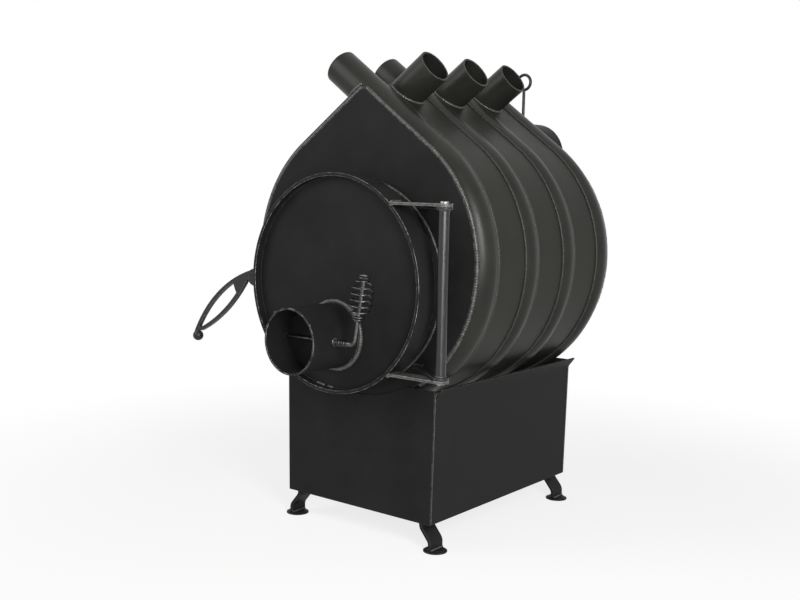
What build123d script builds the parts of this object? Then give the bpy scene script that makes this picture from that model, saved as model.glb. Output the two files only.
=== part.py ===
from build123d import *
import os
from math import cos, pi, radians, sin, sqrt, tan

# Convection wood stove, in millimetres, Z up.
# Seven bent air tubes, four from the right and three from the left, wrap a firebox.
# Steel webs close the space between them, and a box stand with four legs carries them.
# The origin is on the hearth, in the middle of the tube row, and the door faces -Y.

# Clearances
weld_seat = 0.1        # between two pieces that are welded together
weld_gap = 0.1         # between neighbouring tubes, for the weld
running_fit = 0.05     # a shaft in its hole, on the radius
side_play = 0.4        # between faces that move past each other

# Air tubes
tube_od = 57.0
tube_wall = 3.0
tube_count = 7         # odd ones come from the right, even ones from the left
bend_radius = 206.5    # centreline of the round part
bend_height = 447.0    # its centre above the hearth
ridge_slope = 36.0     # degrees above level of the straight upper ends
sump_slope = 25.0      # degrees below level of the straight lower ends
outlet_run = 90.0      # upper end past the ridge crossing
inlet_run = 78.0       # lower end past the crossing below

# Webs between the tubes
web_thickness = 3.0
tube_proud = 6.8       # how far the tubes stand out from the webs

# End plates
plate_thickness = 3.0
plate_lap = 13.0       # plate edge outside the tubes' centreline
apex_radius = 12.0

# Door
door_drop = 33.0       # its middle below the middle of the round part
ring_od = 342.0
ring_wall = 5.0
ring_depth = 40.0
ring_standoff = 30.3   # ring's rear edge in front of the front plate
disc_recess = 13.0
disc_thickness = 4.0
collar_gap = 6.5       # between the ring and the collar inside it
collar_wall = 4.0
collar_length = 40.0
shield_margin = 17.5   # between the collar and the heat shield
shield_thickness = 3.0
shield_gap = 9.0
shield_bolt_inset = 28.0
shield_bolt_diameter = 9.0

# Air pipe in the door, with its butterfly damper
air_pipe_od = 101.0
air_pipe_wall = 2.5
air_pipe_length = 104.7
air_pipe_drop = 80.5   # below the middle of the door
air_pipe_bead = 5.0
damper_inset = 45.7    # shaft behind the mouth
damper_shaft_diameter = 6.0
damper_flap_thickness = 2.0
damper_flap_gap = 1.5
damper_shaft_reach = 89.0
damper_bend_radius = 9.0
damper_lever_lean = 10.0
damper_lever_height = 95.0
damper_stub = 4.0

# Coil grip on the damper's lever: tight turns at the foot and the head, open ones between
grip_wire = 2.4
grip_tight_turns = 2
grip_tight_pitch = 3.9
grip_open_turns = 6
grip_open_pitch = 9.2
grip_foot_radius = 6.9
grip_belly_radius = 16.0
grip_head_radius = 7.3
grip_base = 36.0       # foot of the coil above the lever's corner

# Washer and tension spring on the damper's shaft
washer_od = 14.0
washer_thickness = 1.5
spring_wire = 1.5
spring_turns = 4
spring_length = 19.0
spring_rod_gap = 0.8

# Hinge
hinge_offset = 33.0    # pin outside the door ring
hinge_spacing = 255.0  # between the middles of the two straps
strap_thickness = 4.0
strap_width = 25.0
hinge_barrel_od = 16.0
hinge_pin_diameter = 10.0
hinge_pin_head_od = 13.0
hinge_pin_head_height = 3.0
lug_thickness = 4.0
lug_foot_inner = 108.0
lug_foot_outer = 132.0

# Latch
latch_drop = 4.0       # pivot below the middle of the door
latch_bearing_od = 30.0
latch_bearing_length = 14.0
latch_shaft_diameter = 12.0
latch_boss_radius = 14.0
latch_plane = 51.0     # middle of the handle in front of the front plate
latch_thickness = 7.0
latch_bar = 6.0        # width of the two bars round the handle's eye
latch_palm = 51.0      # solid part of the handle, from the pivot
latch_eye_corner = 1.2
latch_reach = 181.2    # from the pivot to the middle of the knob
latch_slope = 38.4     # degrees below level
latch_loop_rise = 30.0  # upper bar's middle above the line from the pivot to the knob
latch_loop_drop = 7.3  # lower bar's middle below it
latch_tip = 16.0       # from the knob's middle to the lower bar's end
latch_knob_radius = 9.2
latch_cap_radius = 9.0
latch_cap_height = 3.0
cam_hub_radius = 8.0
cam_length = 16.0
cam_width = 11.0
cam_thickness = 7.0
cam_rear = 18.0        # cam's rear face in front of the front plate
cam_play = 2.4         # between the keeper and the cam as the door swings
keeper_thickness = 3.0
keeper_height = 22.0
keeper_drop = 3.0      # its lower edge above the pivot
keeper_clearance = 0.8

# Flue
flue_od = 120.0
flue_wall = 3.0
flue_rise = 179.0      # its middle above the middle of the round part
flue_length = 118.0
flue_damper_inset = 66.0
flue_damper_gap = 1.5
flue_damper_thickness = 3.0
flue_damper_hole = 24.0
flue_rod_diameter = 5.6
flue_rod_stub = 5.0
flue_loop_rise = 137.0  # loop's middle above the middle of the flue
flue_loop_radius = 14.0

# Firebox fittings
shelf_rise = 105.0     # its top above the middle of the round part
shelf_thickness = 5.0
shelf_front = -95.0
nozzle_od = 22.0
nozzle_wall = 2.5
nozzle_length = 26.0
nozzle_angle = 22.0

# Stand
stand_width = 307.0    # across the bends of the side sheets
stand_taper = 3.5      # each side leans in by this towards the bottom
stand_sheet = 2.5
stand_bottom = 45.0
stand_clearance = 20.3  # between the tubes and the bend of the side sheets
stand_lip_out = 13.5
stand_lip_rise = 17.5
stand_bend_radius = 5.0
panel_rise = 13.5      # panels above the bend of the side sheets
panel_lap = 4.0        # panels over the end plates' edges

# Legs
leg_width = 32.0
leg_thickness = 5.0
leg_swing = 18.0
leg_rise = 30.0        # leg's upper end above the stand's bottom
leg_bend_radius = 13.0
foot_inset = 5.5       # foot's middle inside the stand's side
foot_diameter = 38.0
foot_height = 4.0
foot_edge = 1.6

# Worked out from the sizes above
tube_radius = tube_od / 2
pitch = tube_od + weld_gap
ridge_angle = radians(ridge_slope)
sump_angle = radians(sump_slope)
web_outer = tube_radius - tube_proud
web_inner = web_outer - web_thickness
end_tube_y = (tube_count - 1) / 2 * pitch
plate_inner_y = end_tube_y + tube_radius + weld_seat
plate_outer_y = plate_inner_y + plate_thickness
front_y = -plate_outer_y
weld_face_y = front_y - weld_seat
door_height = bend_height - door_drop
ring_radius = ring_od / 2
ring_inner = ring_radius - ring_wall
ring_rear_y = front_y - ring_standoff
ring_front_y = ring_rear_y - ring_depth
disc_front_y = ring_front_y + disc_recess
disc_rear_y = disc_front_y + disc_thickness
collar_radius = ring_inner - collar_gap
collar_front_y = front_y - collar_length
shield_radius = collar_radius - collar_wall - shield_margin
shield_bolt_radius = shield_radius - shield_bolt_inset
air_pipe_radius = air_pipe_od / 2
air_pipe_inner = air_pipe_radius - air_pipe_wall
air_pipe_height = door_height - air_pipe_drop
air_pipe_mouth_y = disc_front_y - air_pipe_length
damper_y = air_pipe_mouth_y + damper_inset
damper_shaft_radius = damper_shaft_diameter / 2
hinge_x = ring_radius + hinge_offset
hinge_y = ring_front_y + strap_width / 2
latch_height = door_height - latch_drop
latch_x = -(ring_radius + weld_seat + latch_bearing_od / 2)
handle_front_y = front_y - latch_plane - latch_thickness / 2
handle_rear_y = front_y - latch_plane + latch_thickness / 2
flue_height = bend_height + flue_rise
flue_loop_height = flue_height + flue_loop_rise
flue_inner = flue_od / 2 - flue_wall
flue_damper_y = plate_outer_y + flue_damper_inset
shelf_height = bend_height + shelf_rise
stand_half = stand_width / 2
stand_inner_y = plate_outer_y + weld_seat
stand_bend_reach = bend_radius + tube_radius + stand_clearance
stand_bend_height = bend_height - sqrt(stand_bend_reach**2 - stand_half**2)
panel_top = stand_bend_height + panel_rise
leg_top = stand_bottom + leg_rise
foot_x = stand_half - foot_inset

pieces = {}


def tube_y(number):
    """Middle of tube 1, the first behind the front plate, to tube 7."""
    return (number - (tube_count + 1) / 2) * pitch


def upright(sketch, rear_y, length):
    """Stand a sketch drawn in x and z upright and carry it forward from rear_y."""
    plane = Plane(origin=(0, rear_y, 0), x_dir=(1, 0, 0), z_dir=(0, -1, 0))
    return extrude(plane * sketch, length)


def ring(outer, inner, x=0.0, z=0.0):
    return Pos(x, z) * (Circle(outer) - Circle(inner))


def ridge_point(run, y):
    """On the right-hand tube's upper end, measured past the ridge crossing."""
    crossing = bend_height + bend_radius / cos(ridge_angle)
    return Vector(-run * cos(ridge_angle), y, crossing + run * sin(ridge_angle))


def sump_point(run, y):
    """On the right-hand tube's lower end, measured past the crossing below the firebox."""
    crossing = bend_height - bend_radius / cos(sump_angle)
    return Vector(-run * cos(sump_angle), y, crossing - run * sin(sump_angle))


def right_route(y, past_ridge, past_sump):
    """Centreline of a right-hand tube: straight, round, straight."""
    top = ridge_point(-bend_radius * tan(ridge_angle), y)
    low = sump_point(-bend_radius * tan(sump_angle), y)
    return Wire([
        Line(ridge_point(past_ridge, y), top),
        ThreePointArc(top, (bend_radius, y, bend_height), low),
        Line(low, sump_point(past_sump, y)),
    ])


def along(route, section):
    """Sweep a section whose x runs to the rear and whose y runs out of the firebox."""
    plane = Plane(origin=route @ 0, x_dir=(0, 1, 0), z_dir=route % 0)
    return sweep(plane * section, path=route)


def left(piece):
    return mirror(piece, about=Plane.YZ)


def air_tube(number):
    route = right_route(tube_y(number), outlet_run, inlet_run)
    return along(route, ring(tube_radius, tube_radius - tube_wall))


def tube_cutter(number):
    """The tube's outside as a rod, with room for the seat."""
    route = right_route(tube_y(number), outlet_run, inlet_run)
    return along(route, Circle(tube_radius + weld_seat))


def web(number, front_reach, rear_reach):
    """Right-hand web across left-hand tube `number`, cut to fit round that tube.

    The reaches run from the middle of the web to the next tube's middle, where the web
    stops at the tube's side, or to an end plate's inner face, where it stops flat.
    Slivers that the tube leaves beside an end plate are dropped."""
    route = right_route(
        tube_y(number),
        web_inner * tan(ridge_angle) - weld_seat / cos(ridge_angle),
        web_inner * tan(sump_angle) - weld_seat / cos(sump_angle),
    )
    width = front_reach + rear_reach
    middle = (rear_reach - front_reach) / 2
    section = Pos(middle, (web_outer + web_inner) / 2) * Rectangle(width, web_thickness)
    for side in (-1, 1):
        section -= Pos(side * pitch, 0) * Circle(tube_radius + weld_seat)
    strip = along(route, section) - left(tube_cutter(number))
    return strip.solids().sort_by(SortBy.VOLUME)[-1]


def end_plate_face():
    """Drop-shaped outline that follows the tubes, with a blunt apex."""
    edge = bend_radius + plate_lap
    shoulder_x = edge * sin(ridge_angle)
    shoulder_z = bend_height + edge * cos(ridge_angle)
    apex = (0, bend_height + edge / cos(ridge_angle))
    face = make_face([
        Line(apex, (shoulder_x, shoulder_z)),
        ThreePointArc((shoulder_x, shoulder_z), (0, bend_height - edge), (-shoulder_x, shoulder_z)),
        Line((-shoulder_x, shoulder_z), apex),
    ])
    return fillet(face.vertices().sort_by(Axis.Y)[-1], apex_radius)


def make_firebox():
    for number in range(1, tube_count + 1):
        order = (number + 1) // 2
        if number % 2:
            pieces[f"tube_right_{order}"] = air_tube(number)
        else:
            pieces[f"tube_left_{order}"] = left(air_tube(number))
    for number in range(2, tube_count, 2):
        pieces[f"web_right_{number // 2}"] = web(number, pitch, pitch)
    for number in range(3, tube_count - 1, 2):
        pieces[f"web_left_{number // 2}"] = left(web(number, pitch, pitch))
    end_reach = tube_radius
    pieces["web_left_front"] = left(web(1, end_reach, pitch))
    pieces["web_left_rear"] = left(web(tube_count, pitch, end_reach))

    door_hole = Pos(0, door_height) * Circle(collar_radius - collar_wall)
    flue_hole = Pos(0, flue_height) * Circle(flue_inner)
    pieces["front_plate"] = upright(
        end_plate_face() - door_hole, -plate_inner_y, plate_thickness)
    pieces["rear_plate"] = upright(
        end_plate_face() - flue_hole, plate_outer_y, plate_thickness)
    collar = ring(collar_radius, collar_radius - collar_wall, z=door_height)
    pieces["door_collar"] = upright(collar, weld_face_y, collar_length - weld_seat)


def air_nozzle(number):
    """Short pipe that blows air from the inside of a right-hand tube into the fire."""
    tip = bend_radius - tube_radius - nozzle_length
    length = bend_radius - tip
    bore = nozzle_od / 2 - nozzle_wall
    level = Pos((tip + bend_radius) / 2, 0, 0) * Rot(0, 90, 0)
    nozzle = level * (Cylinder(nozzle_od / 2, length) - Cylinder(bore, length))
    raised = Pos(0, tube_y(number), bend_height) * Rot(0, -nozzle_angle, 0) * nozzle
    return raised - tube_cutter(number)


def make_fittings():
    """Baffle shelf under the flue and an air nozzle on the first tube of each side."""
    inside = bend_radius - tube_radius - side_play
    half_width = sqrt(inside**2 - (shelf_height - bend_height) ** 2)
    depth = plate_inner_y - weld_seat - shelf_front
    shelf = Box(2 * half_width, depth, shelf_thickness, align=(Align.CENTER, Align.MAX, Align.MAX))
    pieces["baffle_shelf"] = Pos(0, plate_inner_y - weld_seat, shelf_height) * shelf

    pieces["air_nozzle_right"] = air_nozzle(1)
    pieces["air_nozzle_left"] = left(air_nozzle(2))


def make_stand():
    """Two upright panels that lap the end plates, and two bent side sheets."""
    low_half = stand_half - stand_taper
    panel = make_face(Polyline(
        (-low_half, stand_bottom), (low_half, stand_bottom), (stand_half, stand_bend_height),
        (stand_half, panel_top), (-stand_half, panel_top), (-stand_half, stand_bend_height),
        close=True))
    panel -= Pos(0, bend_height) * Circle(bend_radius + plate_lap - panel_lap)
    front = upright(panel, -stand_inner_y, stand_sheet)
    pieces["stand_front"] = front
    pieces["stand_rear"] = mirror(front, about=Plane.XZ)

    middle_x = stand_half - stand_sheet / 2
    lip_x = middle_x + stand_lip_out
    lip_z = stand_bend_height + stand_lip_rise
    route = FilletPolyline(
        (middle_x - stand_taper, 0, stand_bottom),
        (middle_x, 0, stand_bend_height),
        (lip_x, 0, lip_z),
        radius=stand_bend_radius,
    )
    depth = 2 * (stand_inner_y - weld_seat)
    plane = Plane(origin=route @ 0, x_dir=(0, 1, 0), z_dir=route % 0)
    side = sweep(plane * Rectangle(depth, stand_sheet), path=route)
    pieces["stand_right"] = side
    pieces["stand_left"] = left(side)


def make_legs():
    """Flat bars bent in an S, welded inside the stand, each on a round foot."""
    top_x = foot_x - leg_swing
    knee_z = stand_bottom - leg_bend_radius / 2
    ankle_z = foot_height + leg_bend_radius
    route = FilletPolyline(
        (top_x, 0, leg_top),
        (top_x, 0, knee_z),
        (foot_x, 0, ankle_z),
        (foot_x, 0, foot_height),
        radius=leg_bend_radius,
    )
    plane = Plane(origin=route @ 0, x_dir=(1, 0, 0), z_dir=route % 0)
    leg = sweep(plane * Rectangle(leg_thickness, leg_width), path=route)
    foot = Cylinder(foot_diameter / 2, foot_height, align=(Align.CENTER, Align.CENTER, Align.MIN))
    dome = foot_height - foot_edge
    foot = chamfer(foot.edges().sort_by(Axis.Z)[-1], dome, dome * 2)
    leg_y = stand_inner_y - weld_seat - leg_width / 2
    corners = {"front_right": (1, -1), "front_left": (-1, -1),
               "rear_right": (1, 1), "rear_left": (-1, 1)}
    for name, (across, back) in corners.items():
        placed = Pos(0, back * leg_y, 0) * leg
        disc = Pos(foot_x, back * leg_y, 0) * foot
        pieces[f"leg_{name}"] = placed if across > 0 else left(placed)
        pieces[f"foot_{name}"] = disc if across > 0 else left(disc)


def make_door():
    pieces["door_ring"] = upright(
        ring(ring_radius, ring_inner, z=door_height), ring_rear_y, ring_depth)
    disc = Pos(0, door_height) * Circle(ring_inner - weld_seat)
    disc -= Pos(0, air_pipe_height) * Circle(air_pipe_inner)
    pieces["door_disc"] = upright(disc, disc_rear_y, disc_thickness)

    # The rope fills the space between the disc and the collar's edge.
    rope = (collar_front_y - disc_rear_y - weld_seat - side_play) / 2
    rope_y = disc_rear_y + weld_seat + rope
    gasket = Torus(collar_radius - collar_wall / 2, rope, rotation=(90, 0, 0))
    pieces["door_gasket"] = Pos(0, rope_y, door_height) * gasket

    shield_front_y = disc_rear_y + shield_gap
    plate = Pos(0, door_height) * Circle(shield_radius)
    shield = upright(plate, shield_front_y + shield_thickness, shield_thickness)
    for turn in (90, 210, 330):
        x = shield_bolt_radius * cos(radians(turn))
        z = door_height + shield_bolt_radius * sin(radians(turn))
        stud = Pos(x, z) * Circle(shield_bolt_diameter / 2)
        shield += upright(stud, shield_front_y, shield_gap - weld_seat)
    pieces["door_shield"] = shield


def make_air_pipe():
    z = air_pipe_height
    pipe = upright(
        ring(air_pipe_radius, air_pipe_inner, z=z), disc_front_y - weld_seat,
        air_pipe_length - weld_seat)
    bead = Cone(air_pipe_radius + air_pipe_bead, air_pipe_radius, air_pipe_bead,
                rotation=(90, 0, 0), align=(Align.CENTER, Align.CENTER, Align.MIN))
    pipe += Pos(0, disc_front_y - weld_seat, z) * bead
    pipe -= upright(Pos(0, z) * Circle(air_pipe_inner), disc_front_y, air_pipe_length)
    hole = Cylinder(damper_shaft_radius + running_fit, 2 * air_pipe_od, rotation=(0, 90, 0))
    pieces["air_pipe"] = pipe - Pos(0, damper_y, z) * hole

    flap_front = damper_y + damper_shaft_radius + weld_seat
    flap = Pos(0, z) * Circle(air_pipe_inner - damper_flap_gap)
    pieces["air_damper_flap"] = upright(
        flap, flap_front + damper_flap_thickness, damper_flap_thickness)


def damper_lever_route():
    lean = radians(damper_lever_lean)
    corner = Vector(damper_shaft_reach, damper_y, air_pipe_height)
    top = corner + Vector(sin(lean), 0, cos(lean)) * damper_lever_height
    start = Vector(-air_pipe_radius - damper_stub, damper_y, air_pipe_height)
    return FilletPolyline(start, corner, top, radius=damper_bend_radius)


def coil_route(radius_at, height_at, turns, wire):
    """Half-turn biarcs along a coil about Z, with a straight end of one wire at each side."""
    def point(t):
        r = radius_at(t)
        return Vector(r * cos(2 * pi * t), r * sin(2 * pi * t), height_at(t))

    def heading(t):
        step = 1e-4
        before, after = max(0.0, t - step), min(turns, t + step)
        return (point(after) - point(before)).normalized()

    edges = [Line(point(0) - heading(0) * wire, point(0))]
    count = round(turns * 2)
    for i in range(count):
        t0, t1 = i / 2, (i + 1) / 2
        edges += biarc(point(t0), heading(t0), point(t1), heading(t1))
    edges.append(Line(point(turns), point(turns) + heading(turns) * wire))
    return Wire(edges)


def biarc(start, start_heading, end, end_heading):
    """Two arcs that join smoothly and meet both headings."""
    chord = end - start
    total = start_heading + end_heading
    a = 2 * (1 - start_heading.dot(end_heading))
    b = 2 * chord.dot(total)
    c = -chord.dot(chord)
    reach = (-b + sqrt(b * b - 4 * a * c)) / (2 * a)
    first = start + start_heading * reach
    second = end - end_heading * reach
    joint = (first + second) * 0.5
    return [
        TangentArc(start, joint, tangent=start_heading),
        TangentArc(joint, end, tangent=second - first),
    ]


def coil(route, wire):
    return sweep(Plane(origin=route @ 0, z_dir=route % 0) * Circle(wire / 2), path=route)


def least_self_gap(radius_at, height_at, turns, wire):
    """Least clear distance between turns, on points along the coil."""
    steps = 48
    points = []
    for i in range(round(turns * steps) + 1):
        t = i / steps
        r = radius_at(t)
        points.append((r * cos(2 * pi * t), r * sin(2 * pi * t), height_at(t)))
    least = float("inf")
    for i, p in enumerate(points):
        for q in points[i + steps // 2:]:
            least = min(least, sum((u - v) ** 2 for u, v in zip(p, q)))
    return sqrt(least) - wire


def make_air_damper():
    route = damper_lever_route()
    plane = Plane(origin=route @ 0, z_dir=route % 0)
    pieces["air_damper_lever"] = sweep(plane * Circle(damper_shaft_radius), path=route)

    washer = Cylinder(washer_od / 2, washer_thickness, rotation=(0, 90, 0))
    washer -= Cylinder(damper_shaft_radius + running_fit, washer_thickness, rotation=(0, 90, 0))
    washer_x = air_pipe_radius + side_play + washer_thickness / 2
    pieces["damper_washer"] = Pos(washer_x, damper_y, air_pipe_height) * washer

    # Tension spring between the washer and the lever's bend
    spring_radius = damper_shaft_radius + spring_rod_gap + spring_wire / 2
    spring_pitch = spring_length / spring_turns

    def spring_radius_at(t):
        return spring_radius

    def spring_height_at(t):
        return spring_pitch * t

    spring = coil(
        coil_route(spring_radius_at, spring_height_at, spring_turns, spring_wire), spring_wire)
    spring_x = washer_x + washer_thickness / 2 + spring_wire + side_play
    pieces["damper_spring"] = Pos(spring_x, damper_y, air_pipe_height) * Rot(0, 90, 0) * spring
    gap = least_self_gap(spring_radius_at, spring_height_at, spring_turns, spring_wire)
    print(f"spring: least gap between turns {gap:.2f} mm")

    # Coil grip: it winds out from the lever, swells and draws in again.
    seat_radius = damper_shaft_radius + weld_seat + grip_wire / 2
    turns = 2 * grip_tight_turns + grip_open_turns
    swell = grip_belly_radius - (grip_foot_radius + grip_head_radius) / 2

    def grip_radius_at(t):
        foot = seat_radius + (grip_foot_radius - seat_radius) * min(1.0, 2 * t)
        share = min(1.0, max(0.0, (t - grip_tight_turns) / grip_open_turns))
        barrel = swell * (1 - (2 * share - 1) ** 4)
        return foot + (grip_head_radius - grip_foot_radius) * share + barrel

    def grip_height_at(t):
        opened = min(grip_open_turns, max(0.0, t - grip_tight_turns))
        return grip_tight_pitch * (t - opened) + grip_open_pitch * opened

    grip = coil(coil_route(grip_radius_at, grip_height_at, turns, grip_wire), grip_wire)
    lean = radians(damper_lever_lean)
    pieces["air_damper_grip"] = Pos(
        damper_shaft_reach + grip_base * sin(lean), damper_y,
        air_pipe_height + grip_base * cos(lean)) * Rot(0, damper_lever_lean, 0) * grip
    gap = least_self_gap(grip_radius_at, grip_height_at, turns, grip_wire)
    print(f"grip: least gap between turns {gap:.2f} mm")


def strap_face():
    """Seen from above: from behind the door ring to round the hinge pin."""
    end = Pos(hinge_x, hinge_y) * Circle(strap_width / 2)
    start_x = ring_radius / 2
    bar = Pos((start_x + hinge_x) / 2, hinge_y) * Rectangle(hinge_x - start_x, strap_width)
    return end + bar


def make_hinge():
    strap_low = hinge_spacing / 2 - strap_thickness / 2
    pin_hole = Pos(hinge_x, hinge_y) * Circle(hinge_pin_diameter / 2 + running_fit)
    ring_space = Pos(0, ring_front_y, door_height) * Cylinder(
        ring_radius + weld_seat, ring_depth, rotation=(90, 0, 0),
        align=(Align.CENTER, Align.CENTER, Align.MAX))
    upper = Pos(0, 0, door_height + strap_low) * extrude(strap_face() - pin_hole, strap_thickness)
    lower = Pos(0, 0, door_height - strap_low) * extrude(strap_face() - pin_hole, -strap_thickness)
    pieces["strap_top"] = upper - ring_space
    pieces["strap_bottom"] = lower - ring_space

    # Fixed lugs inside the straps: slanting bars welded to the front plate
    lug_high = strap_low - side_play
    pivot = Vector(hinge_x, hinge_y)
    foot = Vector((lug_foot_inner + lug_foot_outer) / 2, weld_face_y)
    run = (foot - pivot).normalized()
    across = Vector(-run.Y, run.X) * strap_width / 2
    lug_web = make_face(Polyline(
        (lug_foot_inner, weld_face_y), pivot + across, pivot - across,
        (lug_foot_outer, weld_face_y), close=True))
    lug_end = Pos(hinge_x, hinge_y) * Circle(strap_width / 2)
    lug = extrude(lug_end + lug_web - pin_hole, -lug_thickness)
    pieces["hinge_lug_top"] = Pos(0, 0, door_height + lug_high) * lug
    pieces["hinge_lug_bottom"] = Pos(0, 0, door_height - lug_high + lug_thickness) * lug

    barrel_half = lug_high - lug_thickness - weld_seat
    barrel = extrude(
        Circle(hinge_barrel_od / 2) - Circle(hinge_pin_diameter / 2 + running_fit),
        barrel_half, both=True)
    pieces["hinge_barrel"] = Pos(hinge_x, hinge_y, door_height) * barrel

    pin_half = strap_low + strap_thickness + weld_seat
    pin = extrude(Circle(hinge_pin_diameter / 2), pin_half, both=True)
    head = extrude(Circle(hinge_pin_head_od / 2), hinge_pin_head_height)
    head = fillet(head.edges().sort_by(Axis.Z)[-1], hinge_pin_head_height / 2)
    pin += Pos(0, 0, pin_half) * head
    pin += Pos(0, 0, -pin_half) * Rot(180, 0, 0) * head
    pieces["hinge_pin"] = Pos(hinge_x, hinge_y, door_height) * pin


def handle_face():
    """Seen from the front about its pivot: a boss and two bowed bars round a long eye.

    It is drawn pointing level to the left and then turned down."""
    top_bar = ThreePointArc(
        (0, latch_boss_radius), (-latch_reach / 2, latch_loop_rise),
        (-latch_reach, latch_knob_radius))
    low_bar = ThreePointArc(
        (latch_tip - latch_reach, 0), (-latch_reach / 2, -latch_loop_drop),
        (-latch_boss_radius * cos(pi / 6), latch_boss_radius * sin(pi / 6)))
    loop = make_face([
        top_bar, Line(top_bar @ 1, low_bar @ 0), low_bar, Line(low_bar @ 1, top_bar @ 0),
    ])
    eye = offset(loop, amount=-latch_bar) - Circle(latch_palm)
    eye = fillet(eye.vertices(), latch_eye_corner)
    return Rot(0, 0, latch_slope) * (loop + Circle(latch_boss_radius) - eye)


def make_latch():
    pivot = Pos(latch_x, latch_height)
    shaft_radius = latch_shaft_diameter / 2
    bearing_rear_y = handle_rear_y + side_play + latch_bearing_length
    bearing = pivot * ring(latch_bearing_od / 2, shaft_radius + running_fit)
    pieces["latch_bearing"] = upright(bearing, bearing_rear_y, latch_bearing_length)

    blade = pivot * (handle_face() - Circle(shaft_radius + weld_seat))
    slope = radians(latch_slope)
    knob = Pos(
        latch_x - latch_reach * cos(slope), front_y - latch_plane,
        latch_height - latch_reach * sin(slope))
    pieces["latch_handle"] = upright(
        blade, handle_rear_y, latch_thickness) + knob * Sphere(latch_knob_radius)

    # Shaft with a cap in front of the handle, and a hub and cam behind the bearing
    cam_rear_y = front_y - cam_rear
    cap_y = handle_front_y - weld_seat
    hub_length = cam_rear_y - bearing_rear_y - side_play
    finger = Pos(0, cam_length / 2) * Rectangle(cam_width, cam_length)
    shaft = upright(pivot * Circle(shaft_radius), cam_rear_y, cam_rear_y - cap_y)
    shaft += upright(pivot * Circle(latch_cap_radius), cap_y, latch_cap_height)
    shaft += upright(pivot * Circle(cam_hub_radius), cam_rear_y, hub_length)
    pieces["latch_shaft"] = shaft + upright(pivot * finger, cam_rear_y, cam_thickness)

    # Keeper on the front plate: the cam turns in behind its lip.
    swept = sqrt(cam_length**2 + (cam_width / 2) ** 2)
    stem_inner = latch_x - swept - keeper_clearance
    stem_outer = stem_inner - keeper_thickness
    lip_end = latch_x - cam_hub_radius - cam_play
    lip_rear_y = cam_rear_y - cam_thickness - cam_play
    lip_front_y = lip_rear_y - keeper_thickness
    outline = Polyline(
        (stem_outer, weld_face_y), (stem_outer, lip_front_y), (lip_end, lip_front_y),
        (lip_end, lip_rear_y), (stem_inner, lip_rear_y), (stem_inner, weld_face_y), close=True)
    keeper = extrude(make_face(outline), keeper_height)
    pieces["latch_keeper"] = Pos(0, 0, latch_height + keeper_drop) * keeper


def make_flue():
    pipe = upright(
        ring(flue_od / 2, flue_inner, z=flue_height), plate_outer_y + flue_length,
        flue_length - weld_seat)
    rod_radius = flue_rod_diameter / 2
    hole = Pos(0, flue_damper_y, flue_height) * Cylinder(rod_radius + running_fit, 2 * flue_od)
    pieces["flue_pipe"] = pipe - hole

    plate_rear_y = flue_damper_y - rod_radius - weld_seat
    plate = Pos(0, flue_height) * Circle(flue_inner - flue_damper_gap)
    plate -= Pos(0, flue_height - flue_inner / 2) * Circle(flue_damper_hole / 2)
    pieces["flue_damper_plate"] = upright(plate, plate_rear_y, flue_damper_thickness)

    low = flue_height - flue_od / 2 - flue_rod_stub
    loop_low = flue_loop_height - flue_loop_radius
    rod = Cylinder(rod_radius, loop_low - low, align=(Align.CENTER, Align.CENTER, Align.MIN))
    rod = Pos(0, flue_damper_y, low) * rod
    loop = Torus(flue_loop_radius, rod_radius, rotation=(90, 0, 0))
    pieces["flue_damper_rod"] = rod + Pos(0, flue_damper_y, flue_loop_height) * loop


make_firebox()
make_fittings()
make_stand()
make_legs()
make_door()
make_air_pipe()
make_air_damper()
make_hinge()
make_latch()
make_flue()

os.makedirs("parts", exist_ok=True)
for name, piece in pieces.items():
    export_step(piece, f"parts/{name}.step")
print(len(pieces), "pieces written")
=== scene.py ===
import random
from math import asin, cos, pi, radians, sin, sqrt, tan

import bmesh
import bpy
from mathutils import Matrix, Vector


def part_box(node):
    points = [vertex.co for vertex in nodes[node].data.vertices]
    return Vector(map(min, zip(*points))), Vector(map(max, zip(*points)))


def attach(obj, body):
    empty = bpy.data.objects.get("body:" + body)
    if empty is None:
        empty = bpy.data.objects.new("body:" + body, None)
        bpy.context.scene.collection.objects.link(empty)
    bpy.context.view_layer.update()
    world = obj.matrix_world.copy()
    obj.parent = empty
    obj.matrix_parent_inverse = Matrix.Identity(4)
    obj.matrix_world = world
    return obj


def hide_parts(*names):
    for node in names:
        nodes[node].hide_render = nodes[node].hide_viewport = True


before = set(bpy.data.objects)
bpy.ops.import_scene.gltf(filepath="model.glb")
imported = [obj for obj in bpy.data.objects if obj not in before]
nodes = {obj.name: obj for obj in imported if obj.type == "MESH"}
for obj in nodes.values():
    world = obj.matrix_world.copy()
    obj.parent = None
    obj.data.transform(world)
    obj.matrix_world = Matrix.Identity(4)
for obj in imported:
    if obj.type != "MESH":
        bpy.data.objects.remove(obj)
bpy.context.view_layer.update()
print("stove frame loaded:", len(nodes), "nodes")


# Helpers for colours, shader nodes and pieces

def toLinear(hexColour):
    channels = [int(hexColour[i:i + 2], 16) / 255 for i in (1, 3, 5)]
    linear = [c / 12.92 if c <= 0.04045 else ((c + 0.055) / 1.055) ** 2.4 for c in channels]
    return (*linear, 1.0)


def addNode(tree, kind, settings, inputs):
    # An input goes by its name, or by its number where the node has that name twice.
    node = tree.nodes.new(kind)
    for name, value in settings.items():
        setattr(node, name, value)
    for name, value in inputs.items():
        if isinstance(value, bpy.types.NodeSocket):
            tree.links.new(value, node.inputs[name])
        else:
            node.inputs[name].default_value = value
    return node


def newMaterial(name):
    material = bpy.data.materials.new(name)
    material.use_nodes = True
    material.node_tree.nodes.clear()
    return material, material.node_tree


def giveMaterial(piece, material):
    if piece.material_slots:
        for slot in piece.material_slots:
            slot.material = material
    else:
        piece.data.materials.append(material)


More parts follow.
